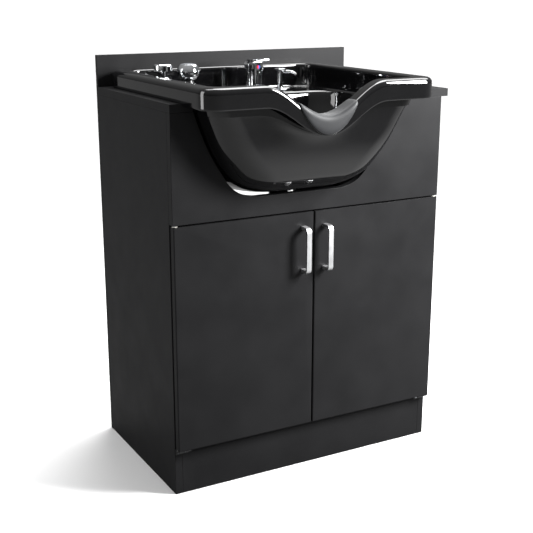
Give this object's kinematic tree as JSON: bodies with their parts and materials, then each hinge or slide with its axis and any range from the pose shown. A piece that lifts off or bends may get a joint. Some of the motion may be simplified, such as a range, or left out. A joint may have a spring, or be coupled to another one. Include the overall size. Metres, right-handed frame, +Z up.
{
  "type": "shampoo backwash unit",
  "caption": "Salon backwash cabinet in black laminate with doors, a gloss bowl with a neck dip and rest, a lever mixer, a vacuum breaker, a parked hand spray and a soap pump.",
  "frame": {"origin": "middle of the underside of the overall box, on the floor, midway between the cabinet's left side and the countertop's right end, and midway between the neck rest's front and the wall face", "axes": "+Z up, +Y towards the wall behind the unit, +X towards the end where the countertop stands out; the client's neck enters from -Y"},
  "size_m": [0.718, 0.5662, 0.965],
  "materials": {
    "black_laminate": "satin black laminated board",
    "bowl_abs": "high-gloss black moulded ABS",
    "neck_rest_rubber": "matte grey soft rubber",
    "chrome": "bright chrome plate",
    "satin_handle": "satin nickel plate",
    "zinc_steel": "zinc-plated steel",
    "black_steel": "black powder-coated steel",
    "white_nylon": "natural nylon",
    "black_rubber": "matte black rubber",
    "bottle_plastic": "blow-moulded polyethylene",
    "black_plastic": "black moulded plastic",
    "grey_plastic": "grey moulded plastic with nozzle holes",
    "marker_enamel": "red and blue enamel"
  },
  "bodies": {
    "cabinet": {"left_side_panel": "black_laminate", "right_side_panel": "black_laminate", "floor_panel": "black_laminate", "toe_kick_board": "black_laminate", "countertop": "black_laminate", "back_panel": "black_laminate", "front_fascia": "black_laminate", "front_rail": "black_laminate", "rear_rail": "black_laminate", "corner_braces": "zinc_steel", "brace_screws": "zinc_steel", "catch_housings": "white_nylon", "catch_magnets": "zinc_steel", "bottom_pivot_brackets": "black_steel", "bracket_screws": "zinc_steel", "top_pivot_pins": "zinc_steel", "bowl": "bowl_abs", "neck_rest": "neck_rest_rubber", "bowl_screws": "zinc_steel", "drain_flange": "chrome", "drain_gasket": "black_rubber", "drain_locknut": "zinc_steel", "tailpiece": "chrome", "slip_nut": "chrome", "mixer_body": "chrome", "mixer_gasket": "black_rubber", "mixer_locknut": "zinc_steel", "mixer_tails": "chrome", "breaker_body": "chrome", "breaker_cap": "chrome", "breaker_nut": "zinc_steel", "hose_guide": "chrome", "hose_guide_nut": "zinc_steel", "soap_collar": "chrome", "soap_nut": "zinc_steel", "soap_bottle": "bottle_plastic", "pump_spring": "zinc_steel"},
    "left_leaf": {"left_door": "black_laminate", "left_handle": "satin_handle", "left_handle_screws": "zinc_steel", "left_bushes": "white_nylon", "left_strike": "zinc_steel", "left_bumpers": "black_rubber"},
    "right_leaf": {"right_door": "black_laminate", "right_handle": "satin_handle", "right_handle_screws": "zinc_steel", "right_bushes": "white_nylon", "right_strike": "zinc_steel", "right_bumpers": "black_rubber"},
    "basket": {"strainer_basket": "chrome"},
    "mixer_cap": {"mixer_turret": "chrome", "mixer_marker": "marker_enamel", "mixer_lever_pin": "zinc_steel"},
    "lever": {"mixer_lever": "chrome"},
    "hand_spray": {"spray_handle": "black_plastic", "spray_bell": "chrome", "spray_face": "grey_plastic", "spray_hose_nut": "chrome"},
    "pump_plunger": {"pump_stem": "white_nylon"},
    "pump_top": {"pump_head": "chrome"}
  },
  "joints": [
    {"name": "left_door_hinge", "type": "hinge", "parent": "cabinet", "child": "left_leaf", "pos_m": [-0.351, -0.14785, 0.3725], "axis": [0, 0, -1], "range_deg": [0, 105]},
    {"name": "right_door_hinge", "type": "hinge", "parent": "cabinet", "child": "right_leaf", "pos_m": [0.333, -0.14785, 0.3725], "axis": [0, 0, 1], "range_deg": [0, 105]},
    {"name": "mixer_swivel", "type": "hinge", "parent": "cabinet", "child": "mixer_cap", "pos_m": [0.007, 0.16315, 0.93], "axis": [0, 0, 1], "range_deg": [-45, 45]},
    {"name": "lever_tilt", "type": "hinge", "parent": "mixer_cap", "child": "lever", "pos_m": [-0.003, 0.16315, 0.9415], "axis": [0, -1, 0], "range_deg": [0, 20]},
    {"name": "spray_lift", "type": "slide", "parent": "cabinet", "child": "hand_spray", "axis": [0, 0, 1], "range_m": [0, 0.16]},
    {"name": "basket_lift", "type": "slide", "parent": "cabinet", "child": "basket", "axis": [0, 0, 1], "range_m": [0, 0.06]},
    {"name": "pump_press", "type": "slide", "parent": "cabinet", "child": "pump_plunger", "axis": [0, 0, -1], "range_m": [0, 0.01], "stiffness_N_per_m": 150, "springref_m": -0.01, "deforming": ["pump_spring"]},
    {"name": "pump_turn", "type": "hinge", "parent": "pump_plunger", "child": "pump_top", "pos_m": [0.076, 0.15315, 0.92], "axis": [0, 0, 1], "range_deg": [-80, 80]}
  ]
}
